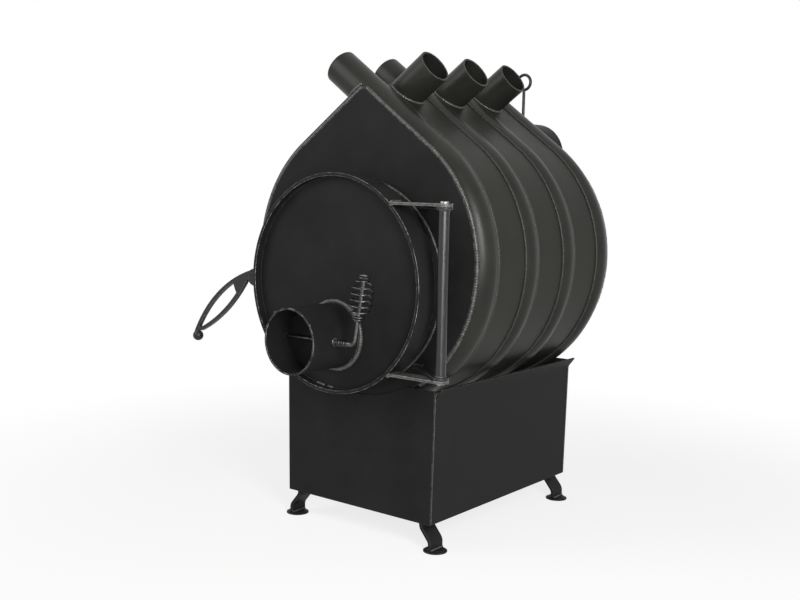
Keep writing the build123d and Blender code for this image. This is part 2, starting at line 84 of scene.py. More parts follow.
def newPiece(name, mesh, material, body):
    mesh.materials.clear()
    mesh.materials.append(material)
    for face in mesh.polygons:
        face.use_smooth = True
    piece = bpy.data.objects.new(name, mesh)
    bpy.context.collection.objects.link(piece)
    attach(piece, body)
    return piece


def corners(box):
    return [Vector(corner) for corner in box]


# Camera

camera = {
    "place": (1.1019, -1.4996, 0.5790),
    "turn": 38.208,        # degrees, from the stove's right front
    "pitch": 6.515,        # degrees down
    "roll": 1.1,           # degrees
    "lens": 48.24,         # millimetres, as is the sensor
    "sensor": 36,
}


def setUpCamera():
    data = bpy.data.cameras.new("photoCamera")
    data.lens = camera["lens"]
    data.sensor_width = camera["sensor"]
    rig = bpy.data.objects.new("photoCamera", data)
    turned = Matrix.Rotation(radians(camera["turn"]), 4, "Z")
    tipped = Matrix.Rotation(radians(90 - camera["pitch"]), 4, "X")
    rolled = Matrix.Rotation(radians(camera["roll"]), 4, "Z")
    rig.matrix_world = Matrix.Translation(camera["place"]) @ turned @ tipped @ rolled
    bpy.context.collection.objects.link(rig)
    bpy.context.scene.camera = rig


# Lamps, white surroundings and floor

lamps = {
    "frontSoftbox": {
        "place": (-1.5, -2.3, 2.1), "aim": (0, 0, 0.4), "size": (2.0, 2.0), "watts": 48},
    "sideSoftbox": {
        "place": (1.5, -1.1, 0.95), "aim": (0.2, -0.1, 0.5), "size": (0.5, 0.9), "watts": 36},
    "cameraSoftbox": {
        "place": (1.50, -2.00, 0.50), "aim": (0.1, -0.1, 0.42), "size": (0.35, 1.0), "watts": 14},
    "topSoftbox": {
        "place": (0.2, 0.3, 2.4), "aim": (0, 0, 0.4), "size": (1.6, 1.6), "watts": 3},
}

surroundings = {
    "skyColour": "#FFFFFF",
    "seenStrength": 1.0,          # plain white where it is seen or mirrored
    "lightStrength": 0.15,        # what it adds to the light on the stove
}

floorLook = {
    "halfSide": 5.0,              # metres
    "colour": "#E9E9E7", "glow": "#FFFFFF", "glowStrength": 1.0,
    "glowShare": (0.8, 1.0),      # how far it shows plain white, near and far
    "fade": (0.45, 1.3),          # metres from the stove's middle, near and far
}


def seenDirectly(tree):
    # 1 for camera, glossy and transmission rays, and 0 for the light on the stove
    path = addNode(tree, "ShaderNodeLightPath", {}, {})
    direct = addNode(tree, "ShaderNodeMath", {"operation": "MAXIMUM"},
                     {0: path.outputs["Is Camera Ray"], 1: path.outputs["Is Glossy Ray"]})
    return addNode(tree, "ShaderNodeMath", {"operation": "MAXIMUM"},
                   {0: direct.outputs[0], 1: path.outputs["Is Transmission Ray"]})


def setUpLamps():
    for name, lamp in lamps.items():
        data = bpy.data.lights.new(name, "AREA")
        data.shape = "RECTANGLE"
        data.size, data.size_y = lamp["size"]
        data.energy = lamp["watts"]
        light = bpy.data.objects.new(name, data)
        light.location = lamp["place"]
        aim = Vector(lamp["aim"]) - Vector(lamp["place"])
        light.rotation_euler = aim.to_track_quat("-Z", "Y").to_euler()
        bpy.context.collection.objects.link(light)


def setUpSurroundings():
    world = bpy.data.worlds.new("paleStudio")
    world.use_nodes = True
    tree = world.node_tree
    tree.nodes.clear()
    direct = seenDirectly(tree)
    strength = addNode(tree, "ShaderNodeMapRange", {},
                       {"Value": direct.outputs[0], "To Min": surroundings["lightStrength"],
                        "To Max": surroundings["seenStrength"]})
    sky = addNode(tree, "ShaderNodeBackground", {},
                  {"Color": toLinear(surroundings["skyColour"]), "Strength": strength.outputs[0]})
    addNode(tree, "ShaderNodeOutputWorld", {}, {"Surface": sky.outputs[0]})
    bpy.context.scene.world = world


def layFloor():
    # Pale matt board that keeps the stove's shadow and fades to white further out
    bm = bmesh.new()
    bmesh.ops.create_grid(bm, x_segments=1, y_segments=1, size=floorLook["halfSide"])
    mesh = bpy.data.meshes.new("studioFloor")
    bm.to_mesh(mesh)
    bm.free()
    floor = bpy.data.objects.new("studioFloor", mesh)
    bpy.context.collection.objects.link(floor)

    material, tree = newMaterial("paleStudioFloor")
    direct = seenDirectly(tree)
    coords = addNode(tree, "ShaderNodeTexCoord", {}, {}).outputs["Object"]
    reach = addNode(tree, "ShaderNodeVectorMath", {"operation": "LENGTH"}, {0: coords})
    near, far = floorLook["fade"]
    nearGlow, farGlow = floorLook["glowShare"]
    glowShare = addNode(tree, "ShaderNodeMapRange", {"interpolation_type": "SMOOTHSTEP"},
                        {"Value": reach.outputs["Value"], "From Min": near, "From Max": far,
                         "To Min": nearGlow, "To Max": farGlow})
    share = addNode(tree, "ShaderNodeMath", {"operation": "MULTIPLY"},
                    {0: direct.outputs[0], 1: glowShare.outputs[0]})
    plain = addNode(tree, "ShaderNodeBsdfDiffuse", {}, {"Color": toLinear(floorLook["colour"])})
    glow = addNode(tree, "ShaderNodeEmission", {},
                   {"Color": toLinear(floorLook["glow"]), "Strength": floorLook["glowStrength"]})
    mixed = addNode(tree, "ShaderNodeMixShader", {},
                    {0: share.outputs[0], 1: plain.outputs[0], 2: glow.outputs[0]})
    addNode(tree, "ShaderNodeOutputMaterial", {}, {"Surface": mixed.outputs[0]})
    mesh.materials.append(material)


setUpCamera()
setUpLamps()
setUpSurroundings()
layFloor()
bpy.context.scene.view_settings.view_transform = "Standard"
print("camera, lamps and floor ready")


# Painted steel

sprayed = {                # what every sprayed coat shares; depth in metres
    "cloudDetail": 4.0, "cloudRoughness": 0.6, "cloudRange": (0.36, 0.64),
    "grainDetail": 2.0, "grainDepth": 0.0004,
    "rubDetail": 3.0, "rubRange": (0.35, 0.65),
    "edgeRange": (0.995, 0.82),     # how far the normal turns, from flat to a rubbed edge
    "sheenRange": (0.3, 0.7), "sheenSpread": 0.05,
    "ior": 1.5,
}


def sprayedStovePaint(name, look):
    # Silicone stove paint, sprayed on steel: satin, finely grained, cloudy where it lies
    # thicker, and rubbed to a lighter grey along the edges.
    material, tree = newMaterial(name)
    coords = addNode(tree, "ShaderNodeTexCoord", {}, {}).outputs["Object"]
    clouds = addNode(tree, "ShaderNodeTexNoise", {},
                     {"Vector": coords, "Scale": 1 / look["cloudSize"],
                      "Detail": sprayed["cloudDetail"], "Roughness": sprayed["cloudRoughness"]})
    thin, thick = sprayed["cloudRange"]
    cloudShare = addNode(tree, "ShaderNodeMapRange", {},
                         {"Value": clouds.outputs["Fac"], "From Min": thin, "From Max": thick})
    grain = addNode(tree, "ShaderNodeTexNoise", {},
                    {"Vector": coords, "Scale": 1 / look["grainSize"],
                     "Detail": sprayed["grainDetail"]})

    rounded = addNode(tree, "ShaderNodeBevel", {"samples": 4}, {"Radius": look["edgeRadius"]})
    flat = addNode(tree, "ShaderNodeNewGeometry", {}, {})
    meet = addNode(tree, "ShaderNodeVectorMath", {"operation": "DOT_PRODUCT"},
                   {0: rounded.outputs[0], 1: flat.outputs["Normal"]})
    level, turned = sprayed["edgeRange"]
    edge = addNode(tree, "ShaderNodeMapRange", {},
                   {"Value": meet.outputs["Value"], "From Min": level, "From Max": turned})
    rubs = addNode(tree, "ShaderNodeTexNoise", {},
                   {"Vector": coords, "Scale": 1 / look["rubSize"], "Detail": sprayed["rubDetail"]})
    kept, bare = sprayed["rubRange"]
    rubShare = addNode(tree, "ShaderNodeMapRange", {},
                       {"Value": rubs.outputs["Fac"], "From Min": kept, "From Max": bare,
                        "To Max": look["wear"]})
    worn = addNode(tree, "ShaderNodeMath", {"operation": "MULTIPLY"},
                   {0: edge.outputs[0], 1: rubShare.outputs[0]})

    painted = addNode(tree, "ShaderNodeMix", {"data_type": "RGBA"},
                      {0: cloudShare.outputs[0], 6: toLinear(look["colour"]),
                       7: toLinear(look["cloud"])})
    coloured = addNode(tree, "ShaderNodeMix", {"data_type": "RGBA"},
                       {0: worn.outputs[0], 6: painted.outputs[2], 7: toLinear(look["rubbed"])})
    low, high = sprayed["sheenRange"]
    roughness = addNode(tree, "ShaderNodeMapRange", {},
                        {"Value": clouds.outputs["Fac"], "From Min": low, "From Max": high,
                         "To Min": look["roughness"] - sprayed["sheenSpread"],
                         "To Max": look["roughness"] + sprayed["sheenSpread"]})
    bump = addNode(tree, "ShaderNodeBump", {},
                   {"Strength": look["bump"], "Distance": sprayed["grainDepth"],
                    "Height": grain.outputs["Fac"], "Normal": rounded.outputs[0]})
    shader = addNode(tree, "ShaderNodeBsdfPrincipled", {},
                     {"Base Color": coloured.outputs[2], "Roughness": roughness.outputs[0],
                      "Specular IOR Level": look["specular"], "IOR": sprayed["ior"],
                      "Normal": bump.outputs[0]})
    addNode(tree, "ShaderNodeOutputMaterial", {}, {"Surface": shader.outputs[0]})
    return material


# Sizes are in metres. Clouds are as wide as the passes of a spray gun, or on the beads as a few
# ripples. The grain of such paint is about 0.2 mm and too fine to show, so it is drawn several
# times as coarse.

paintLook = {              # end plates, door disc and stand: dull black
    "colour": "#161716", "cloud": "#1B1C1B", "rubbed": "#6E6E6A",
    "cloudSize": 0.07, "grainSize": 0.0016, "rubSize": 0.006,
    "edgeRadius": 0.0012, "wear": 0.8, "roughness": 0.5, "specular": 0.075, "bump": 0.25,
}
tubePaintLook = {          # air tubes: smoother drawn steel under it, so a softer, wider shine
    "colour": "#1D1D1B", "cloud": "#22221E", "rubbed": "#73736E",
    "cloudSize": 0.05, "grainSize": 0.0014, "rubSize": 0.006,
    "edgeRadius": 0.0010, "wear": 0.8, "roughness": 0.34, "specular": 0.16, "bump": 0.22,
}
webPaintLook = {           # webs between the tubes: a little duller and browner
    "colour": "#1D1D1A", "cloud": "#23231E", "rubbed": "#73736E",
    "cloudSize": 0.06, "grainSize": 0.0014, "rubSize": 0.006,
    "edgeRadius": 0.0010, "wear": 0.8, "roughness": 0.42, "specular": 0.10, "bump": 0.22,
}
seamLook = {               # long seams down the tubes: painted over, with a faint ripple
    "colour": "#20201D", "cloud": "#2C2C29", "rubbed": "#93938C",
    "cloudSize": 0.005, "grainSize": 0.0012, "rubSize": 0.0035,
    "edgeRadius": 0.0008, "wear": 0.45, "roughness": 0.4, "specular": 0.3, "bump": 0.4,
}
weldAndGlintLook = {               # thicker beads: paint worn thin on the ripples, and the lighter cloud colour on them is painted glints
    "colour": "#282827", "cloud": "#454542", "rubbed": "#A5A59F",
    "cloudSize": 0.006, "grainSize": 0.0012, "rubSize": 0.004,
    "edgeRadius": 0.0006, "wear": 0.6, "roughness": 0.34, "specular": 0.45, "bump": 0.5,
}
handlePaintLook = {        # latch, lugs and damper rod: smoothed by hands
    "colour": "#1D1D1E", "cloud": "#232323", "rubbed": "#9A9A97",
    "cloudSize": 0.03, "grainSize": 0.0012, "rubSize": 0.005,
    "edgeRadius": 0.0012, "wear": 0.9, "roughness": 0.4, "specular": 0.25, "bump": 0.25,
}
barrelPaintLook = {        # hinge barrel: glossy, with a bright streak down its side
    "colour": "#0F0F10", "cloud": "#141415", "rubbed": "#A0A09D",
    "cloudSize": 0.02, "grainSize": 0.0010, "rubSize": 0.004,
    "edgeRadius": 0.0012, "wear": 0.9, "roughness": 0.3, "specular": 0.5, "bump": 0.12,
}
strapPaintAndHighlightLook = {         # hinge straps and the bead round the air pipe: lighter grey all over, partly rubbed paint and partly a painted highlight standing in for the light on their top faces
    "colour": "#333332", "cloud": "#4C4C4A", "rubbed": "#B0B0AC",
    "cloudSize": 0.012, "grainSize": 0.0012, "rubSize": 0.006,
    "edgeRadius": 0.0014, "wear": 1.0, "roughness": 0.36, "specular": 0.4, "bump": 0.25,
}
doorPaintLook = {          # air pipe and door ring: dull black, chipped to steel on the rims
    "colour": "#171817", "cloud": "#1C1D1C", "rubbed": "#B4B4AF",
    "cloudSize": 0.06, "grainSize": 0.0016, "rubSize": 0.008,
    "edgeRadius": 0.0013, "wear": 1.0, "roughness": 0.5, "specular": 0.09, "bump": 0.25,
}

stovePaint = sprayedStovePaint("satinStovePaint", paintLook)
tubePaint = sprayedStovePaint("satinTubePaint", tubePaintLook)
webPaint = sprayedStovePaint("satinWebPaint", webPaintLook)
weldPaintAndGlints = sprayedStovePaint("paintedWeldBeadWithGlints", weldAndGlintLook)
seamPaint = sprayedStovePaint("paintedSeamBead", seamLook)
handlePaint = sprayedStovePaint("handledStovePaint", handlePaintLook)
barrelPaint = sprayedStovePaint("glossyBarrelPaint", barrelPaintLook)
strapPaintAndHighlight = sprayedStovePaint("rubbedAndHighlitStrapPaint", strapPaintAndHighlightLook)
doorPaint = sprayedStovePaint("chippedDoorPaint", doorPaintLook)


# Bare steel

bareSteel = {              # what every bare steel shares; radius and depth in metres
    "oxideDetail": 5.0, "oxideRange": (0.4, 0.62),
    "dullRange": (0.3, 0.7), "dullRise": 0.15,
    "edgeRadius": 0.0005,
    "scratchDetail": 2.0, "scratchBump": 0.25, "scratchDepth": 0.0002,
}


def drawnSteel(name, look):
    # Drawn or turned steel, handled and darkened: even grey metal with fine scratches and
    # darker, duller patches of oxide.
    material, tree = newMaterial(name)
    coords = addNode(tree, "ShaderNodeTexCoord", {}, {}).outputs["Object"]
    oxide = addNode(tree, "ShaderNodeTexNoise", {},
                    {"Vector": coords, "Scale": 1 / look["oxideSize"],
                     "Detail": bareSteel["oxideDetail"]})
    clean, dark = bareSteel["oxideRange"]
    share = addNode(tree, "ShaderNodeMapRange", {},
                    {"Value": oxide.outputs["Fac"], "From Min": clean, "From Max": dark})
    coloured = addNode(tree, "ShaderNodeMix", {"data_type": "RGBA"},
                       {0: share.outputs[0], 6: toLinear(look["colour"]),
                        7: toLinear(look["oxide"])})
    low, high = bareSteel["dullRange"]
    roughness = addNode(tree, "ShaderNodeMapRange", {},
                        {"Value": oxide.outputs["Fac"], "From Min": low, "From Max": high,
                         "To Min": look["roughness"],
                         "To Max": look["roughness"] + bareSteel["dullRise"]})
    scratches = addNode(tree, "ShaderNodeTexNoise", {},
                        {"Vector": coords, "Scale": 1 / look["scratchSize"],
                         "Detail": bareSteel["scratchDetail"]})
    rounded = addNode(tree, "ShaderNodeBevel", {"samples": 4}, {"Radius": bareSteel["edgeRadius"]})
    bump = addNode(tree, "ShaderNodeBump", {},
                   {"Strength": bareSteel["scratchBump"], "Distance": bareSteel["scratchDepth"],
                    "Height": scratches.outputs["Fac"], "Normal": rounded.outputs[0]})
    shader = addNode(tree, "ShaderNodeBsdfPrincipled", {},
                     {"Base Color": coloured.outputs[2], "Metallic": 1.0,
                      "Roughness": roughness.outputs[0], "Normal": bump.outputs[0]})
    addNode(tree, "ShaderNodeOutputMaterial", {}, {"Surface": shader.outputs[0]})
    return material


# Real scratches are finer than 0.1 mm and wouldn't show, so they are drawn near 1 mm.

barLook = {                # lever of the air damper
    "colour": "#6A6A69", "oxide": "#3D3D3C",
    "oxideSize": 0.008, "scratchSize": 0.0009, "roughness": 0.34,
}
wireLook = {               # coil grip and damper spring
    "colour": "#5E5E5E", "oxide": "#333333",
    "oxideSize": 0.005, "scratchSize": 0.0007, "roughness": 0.30,
}
pinLook = {                # hinge pin and washer
    "colour": "#BDBCB8", "oxide": "#6E6C68",
    "oxideSize": 0.007, "scratchSize": 0.0008, "roughness": 0.32,
}
millLook = {               # unpainted sheet inside the stove: brown-grey scale
    "colour": "#57534E", "oxide": "#34302D",
    "oxideSize": 0.03, "scratchSize": 0.0015, "roughness": 0.5,
}

barSteel = drawnSteel("darkRoundBar", barLook)
wireSteel = drawnSteel("darkSpringWire", wireLook)
pinSteel = drawnSteel("turnedPinSteel", pinLook)
millSteel = drawnSteel("millScaleSteel", millLook)


# Which node wears what: the longest matching start of its name wins, and the rest is stove paint

nodeMaterials = {
    "tube": tubePaint, "web": webPaint, "air_pipe": doorPaint, "door_ring": doorPaint,
    "air_damper_lever": barSteel, "air_damper_grip": wireSteel, "damper_spring": wireSteel,
    "damper_washer": pinSteel, "hinge_pin": pinSteel, "hinge_barrel": barrelPaint,
    "strap": strapPaintAndHighlight, "hinge_lug": handlePaint,
    "latch": handlePaint, "flue_damper_rod": handlePaint, "flue_damper_plate": millSteel,
    "baffle_shelf": millSteel, "door_shield": millSteel, "air_nozzle": millSteel,
}
for name, node in nodes.items():
    starts = [key for key in nodeMaterials if name.startswith(key)]
    giveMaterial(node, nodeMaterials[max(starts, key=len)] if starts else stovePaint)
print("materials on all frame nodes")


# Rope gasket behind the door's disc

rope = {
    "sides": 20, "steps": 240,       # round the rope, and round the ring
    "crossings": 120, "strands": 5,  # a crossing about every 8 mm
    "strand": "#B9B3A4", "soot": "#5C564C", "sootRange": (-0.4, 0.8),
    "bump": 0.9, "depth": 0.001,     # depth in metres
    "roughness": 0.9, "specular": 0.2, "sheen": 0.3,
}


def knittedRope(name, middle, ringRadius):
    # Knitted glass fibre rope: pale strands that cross round the ring, sooty in the dips.
    material, tree = newMaterial(name)
    coords = addNode(tree, "ShaderNodeTexCoord", {}, {}).outputs["Object"]
    centred = addNode(tree, "ShaderNodeMapping", {},
                      {"Vector": coords, "Location": tuple(-v for v in middle)})
    parts = addNode(tree, "ShaderNodeSeparateXYZ", {}, {0: centred.outputs[0]})
    bearing = addNode(tree, "ShaderNodeMath", {"operation": "ARCTAN2"},
                      {0: parts.outputs["Z"], 1: parts.outputs["X"]})
    flat = addNode(tree, "ShaderNodeCombineXYZ", {},
                   {"X": parts.outputs["X"], "Z": parts.outputs["Z"]})
    reach = addNode(tree, "ShaderNodeVectorMath", {"operation": "LENGTH"}, {0: flat.outputs[0]})
    out = addNode(tree, "ShaderNodeMath", {"operation": "SUBTRACT"},
                  {0: reach.outputs["Value"], 1: ringRadius})
    twist = addNode(tree, "ShaderNodeMath", {"operation": "ARCTAN2"},
                    {0: parts.outputs["Y"], 1: out.outputs[0]})
    along = addNode(tree, "ShaderNodeMath", {"operation": "MULTIPLY"},
                    {0: bearing.outputs[0], 1: rope["crossings"]})
    around = addNode(tree, "ShaderNodeMath", {"operation": "MULTIPLY"},
                     {0: twist.outputs[0], 1: rope["strands"]})
    waves = []
    for operation in ("ADD", "SUBTRACT"):
        phase = addNode(tree, "ShaderNodeMath", {"operation": operation},
                        {0: along.outputs[0], 1: around.outputs[0]})
        waves.append(addNode(tree, "ShaderNodeMath", {"operation": "SINE"}, {0: phase.outputs[0]}))
    weave = addNode(tree, "ShaderNodeMath", {"operation": "MAXIMUM"},
                    {0: waves[0].outputs[0], 1: waves[1].outputs[0]})
    dip, crest = rope["sootRange"]
    share = addNode(tree, "ShaderNodeMapRange", {},
                    {"Value": weave.outputs[0], "From Min": dip, "From Max": crest})
    coloured = addNode(tree, "ShaderNodeMix", {"data_type": "RGBA"},
                       {0: share.outputs[0], 6: toLinear(rope["soot"]),
                        7: toLinear(rope["strand"])})
    bump = addNode(tree, "ShaderNodeBump", {},
                   {"Strength": rope["bump"], "Distance": rope["depth"],
                    "Height": weave.outputs[0]})
    shader = addNode(tree, "ShaderNodeBsdfPrincipled", {},
                     {"Base Color": coloured.outputs[2], "Roughness": rope["roughness"],
                      "Specular IOR Level": rope["specular"], "Sheen Weight": rope["sheen"],
                      "Normal": bump.outputs[0]})
    addNode(tree, "ShaderNodeOutputMaterial", {}, {"Surface": shader.outputs[0]})
    return material


def makeRope():
    low, high = corners(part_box("door_gasket"))
    middle = (low + high) / 2
    ropeRadius = (high.y - low.y) / 2
    ringRadius = (high.x - low.x) / 2 - ropeRadius
    bm = bmesh.new()
    bmesh.ops.create_circle(bm, segments=rope["sides"], radius=ropeRadius)
    bmesh.ops.translate(bm, vec=(ringRadius, 0, 0), verts=bm.verts)
    bmesh.ops.spin(bm, geom=bm.verts[:] + bm.edges[:], cent=(0, 0, 0), axis=(0, 1, 0),
                   angle=2 * pi, steps=rope["steps"], use_merge=True)
    bmesh.ops.remove_doubles(bm, verts=bm.verts, dist=1e-6)
    bmesh.ops.translate(bm, vec=middle, verts=bm.verts)
    bmesh.ops.recalc_face_normals(bm, faces=bm.faces)
    mesh = bpy.data.meshes.new("doorRope")
    bm.to_mesh(mesh)
    bm.free()
    material = knittedRope("knittedGlassRope", middle, ringRadius)
    piece = newPiece("doorRope", mesh, material, "door")
    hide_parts("door_gasket")


makeRope()
print("rope gasket knitted")


# Weld beads: each run is a row of points, one for each radius of a ripple; all sizes in metres

ripple = {"length": 0.0042, "radii": (0.80, 1.0, 1.10), "wander": 0.00025, "unevenness": 0.10}
perRipple = len(ripple["radii"])
luck = random.Random(11)


# By default beads wear the weld paint, whose lighter clouds are painted glints.
def layBeads(name, body, runs, radius, material=weldPaintAndGlints):
    curve = bpy.data.curves.new(name, "CURVE")
    curve.dimensions = "3D"
    curve.bevel_depth = radius
    curve.bevel_resolution = 1
    curve.use_fill_caps = True
    for points, closed in runs:
        spline = curve.splines.new("POLY")
        spline.points.add(len(points) - 1)
        spline.use_cyclic_u = closed
        for i, point in enumerate(points):
            wander = Vector([luck.uniform(-1, 1) for _ in range(3)]) * ripple["wander"]
            spline.points[i].co = (*(Vector(point) + wander), 1)
            uneven = 1 + ripple["unevenness"] * luck.uniform(-1, 1)
            spline.points[i].radius = ripple["radii"][i % perRipple] * uneven
    drawn = bpy.data.objects.new(name + "Drawn", curve)
    bpy.context.collection.objects.link(drawn)
    bpy.context.view_layer.update()
    mesh = bpy.data.meshes.new_from_object(drawn)
    bpy.data.objects.remove(drawn)
    return newPiece(name, mesh, material, body)


def circleRun(middle, radius, u, v, start=0.0, end=2 * pi):
    count = round(radius * abs(end - start) / ripple["length"]) * perRipple
    angles = [start + (end - start) * i / count for i in range(count)]
    return [Vector(middle) + radius * (Vector(u) * cos(a) + Vector(v) * sin(a)) for a in angles]


def arcRuns(middle, radius, u, v, arcs):
    return [(circleRun(middle, radius, u, v, radians(a), radians(b)), False) for a, b in arcs]


def lineRun(start, end):
    start, end = Vector(start), Vector(end)
    count = max(perRipple, round((end - start).length / ripple["length"] * perRipple))
    return [start.lerp(end, i / count) for i in range(count + 1)]


# The wall of bent tubes: straight down from the ridge, round the bend, straight in to the sump

wall = {
    "tubeRadius": 0.0285, "bendRadius": 0.2065, "bendHeight": 0.447,
    "ridge": radians(36), "sump": radians(25),     # slopes of the straight stretches
    "webOut": 0.0217,      # the webs' outer face, from the tubes' middle line
    "plateEdge": 0.2195,   # the end plates' radius
    "pitch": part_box("tube_left_1")[0][1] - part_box("tube_right_1")[0][1],
    "plateInner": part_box("rear_plate")[0][1],
    "panelTop": 0.262,     # the stand hides the plates' edges below this
}
rightTubes, leftTubes = (1, 3, 5, 7), (2, 4, 6)    # counted from the front
middleTube = 4


def wallPoint(s, out, y, side):
    # A point s metres down from the ridge and `out` metres outside the tubes' middle line
    radius = wall["bendRadius"] + out
    topRun = radius * tan(wall["ridge"])
    sweep = pi - wall["ridge"] - wall["sump"]
    if s < topRun:
        x = s * cos(wall["ridge"])
        z = wall["bendHeight"] + radius / cos(wall["ridge"]) - s * sin(wall["ridge"])
    elif s < topRun + radius * sweep:
        a = pi / 2 - wall["ridge"] - (s - topRun) / radius
        x, z = radius * cos(a), wall["bendHeight"] + radius * sin(a)
    else:
        past = s - topRun - radius * sweep
        a = wall["sump"] - pi / 2
        x = radius * cos(a) - past * cos(wall["sump"])
        z = wall["bendHeight"] + radius * sin(a) - past * sin(wall["sump"])
    return Vector((side * x, y, z))


def wallRun(out, y, side, start=0.0, end=None):
    radius = wall["bendRadius"] + out
    if end is None:
        end = radius * (tan(wall["ridge"]) + tan(wall["sump"]) + pi - wall["ridge"] - wall["sump"])
    count = round((end - start) / ripple["length"] * perRipple)
    return [wallPoint(start + (end - start) * i / count, out, y, side) for i in range(count + 1)]


def tubeY(number):
    return (number - middleTube) * wall["pitch"]


# Seams down both sides of every tube, where the webs meet it

seam = {
    "radius": 0.0021,
    "proud": 0.0005,                   # above the webs
    "plateEdges": ((1, -1), (7, 1)),   # tube and edge where an end plate is welded instead
}


def makeSeams():
    beside = sqrt(wall["tubeRadius"] ** 2 - wall["webOut"] ** 2)
    out = wall["webOut"] + seam["proud"]
    for side, name, numbers in ((1, "seamWeldsRight", rightTubes),
                                (-1, "seamWeldsLeft", leftTubes)):
        runs = [(wallRun(out, tubeY(number) + edge * beside, side), False)
                for number in numbers for edge in (-1, 1)
                if (number, edge) not in seam["plateEdges"]]
        layBeads(name, "stove", runs, seam["radius"], seamPaint)


# Beads round the edges of both end plates, down to the stand

plateWeld = {
    "radius": 0.0034,
    "start": 0.006,                    # from the ridge
    "inside": 0.0003,                  # behind the plate's inner face
    "out": {1: 0.0020, -1: 0.0030},    # past its edge: to a tube on the right, a web on the left
}


def makePlateWelds():
    edge = wall["plateEdge"] - wall["bendRadius"]
    for back, name in ((-1, "frontPlateWeld"), (1, "rearPlateWeld")):
        y = back * (wall["plateInner"] + plateWeld["inside"])
        runs = []
        for side, past in plateWeld["out"].items():
            out = edge + past
            radius = wall["bendRadius"] + out
            below = asin((wall["bendHeight"] - wall["panelTop"]) / radius)
            end = radius * (tan(wall["ridge"]) + pi / 2 - wall["ridge"] + below)
            runs.append((wallRun(out, y, side, plateWeld["start"], end), False))
        layBeads(name, "stove", runs, plateWeld["radius"])


# Saddle-shaped beads round the foot of each tube, where it comes out through the opposite webs

saddle = {
    "radius": 0.0026,
    "proud": 0.001,            # off the tube's wall
    "reach": radians(118),     # each way round the tube
}


def makeSaddles():
    reach, proud = saddle["reach"], saddle["proud"]
    for slope, upper, name in ((wall["ridge"], 1, "ridgeTubeWelds"),
                               (wall["sump"], -1, "sumpTubeWelds")):
        runs = []
        crossing = wall["bendHeight"] + upper * wall["bendRadius"] / cos(slope)
        for number in sorted(rightTubes + leftTubes):
            side = 1 if number in rightTubes else -1
            axis = Vector((-side * cos(slope), 0, upper * sin(slope)))
            webRun = Vector((-side * cos(slope), 0, -upper * sin(slope)))
            rise = wall["webOut"] / sin(2 * slope)
            middle = Vector((0, tubeY(number), crossing)) + axis * rise
            stretch = wall["tubeRadius"] / sin(2 * slope)
            count = round(2 * reach * wall["tubeRadius"] / ripple["length"]) * perRipple
            points = []
            for i in range(count + 1):
                a = -reach + 2 * reach * i / count
                points.append(middle + webRun * (stretch + proud) * cos(a)
                              + Vector((0, 1, 0)) * (wall["tubeRadius"] + proud) * sin(a))
            runs.append((points, False))
        layBeads(name, "stove", runs, saddle["radius"])


makeSeams()
makePlateWelds()
makeSaddles()
print("tube and plate welds laid")


# Welds of the door's disc: a thin seam inside the ring, and two lumps low on it

right, inward, up = (1, 0, 0), (0, 1, 0), (0, 0, 1)

discWeld = {
    "seamRadius": 0.0012, "seamInside": 0.0004,
    "lumpRadius": 0.0024, "lumpInside": 0.0012,
    "lumps": ((-103, -97), (-95, -91)),      # degrees round the disc, from the hinge side up
}


def makeDiscWelds():
    low, high = corners(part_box("door_disc"))
    discRadius = (high.x - low.x) / 2
    front = Vector((0, low.y, ((low + high) / 2).z))
    seamRun = circleRun(front, discRadius - discWeld["seamInside"], right, up)
    layBeads("discSeamWeld", "door", [(seamRun, True)], discWeld["seamRadius"], material=stovePaint)
    lumpRuns = arcRuns(front, discRadius - discWeld["lumpInside"], right, up, discWeld["lumps"])
    layBeads("discSeamLumps", "door", lumpRuns, discWeld["lumpRadius"])


# Welds of the air pipe: a thick bead round its base, and tacks on its rim

pipeWeld = {
    "pipeRadius": 0.0505,
    "baseRadius": 0.0038, "baseOut": 0.0026, "baseLift": 0.0022,
    "tackRadius": 0.0015, "tackOut": 0.0002, "tackDepth": 0.0004,
    "tacks": ((122, 128), (33, 38), (-17, -11)),      # degrees round the mouth
}


def makePipeWelds():
    disc = corners(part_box("door_disc"))
    low, high = corners(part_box("air_pipe"))
    middleHeight = (low.z + high.z) / 2
    base = Vector((0, disc[0].y - pipeWeld["baseLift"], middleHeight))
    baseRun = circleRun(base, pipeWeld["pipeRadius"] + pipeWeld["baseOut"], right, up)
    # The base bead is lighter grey: partly rubbed paint, partly a painted highlight.
    layBeads("airPipeWeld", "door", [(baseRun, True)], pipeWeld["baseRadius"], material=strapPaintAndHighlight)
    mouth = Vector((0, low.y + pipeWeld["tackDepth"], middleHeight))
    tackRuns = arcRuns(mouth, pipeWeld["pipeRadius"] + pipeWeld["tackOut"], right, up,
                       pipeWeld["tacks"])
    layBeads("pipeRimTacks", "door", tackRuns, pipeWeld["tackRadius"])


# Beads where the door collar and the flue pipe stand on the end plates

collarWeld = {"radius": 0.0025, "out": 0.0014, "off": 0.0012}
flueWeld = {"radius": 0.0026, "out": 0.0014, "off": 0.0014}


def makeCollarAndFlueWelds():
    low, high = corners(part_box("door_collar"))
    root = Vector((0, high.y - collarWeld["off"], (low.z + high.z) / 2))
    collarRun = circleRun(root, (high.x - low.x) / 2 + collarWeld["out"], right, up)
    layBeads("collarWeld", "stove", [(collarRun, True)], collarWeld["radius"])

    low, high = corners(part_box("flue_pipe"))
    foot = Vector((0, low.y + flueWeld["off"], (low.z + high.z) / 2))
    flueRun = circleRun(foot, (high.x - low.x) / 2 + flueWeld["out"], right, up)
    layBeads("flueWeld", "stove", [(flueRun, True)], flueWeld["radius"])


# Welds of the hinge: straps on the door's ring, lugs and barrel on the front plate

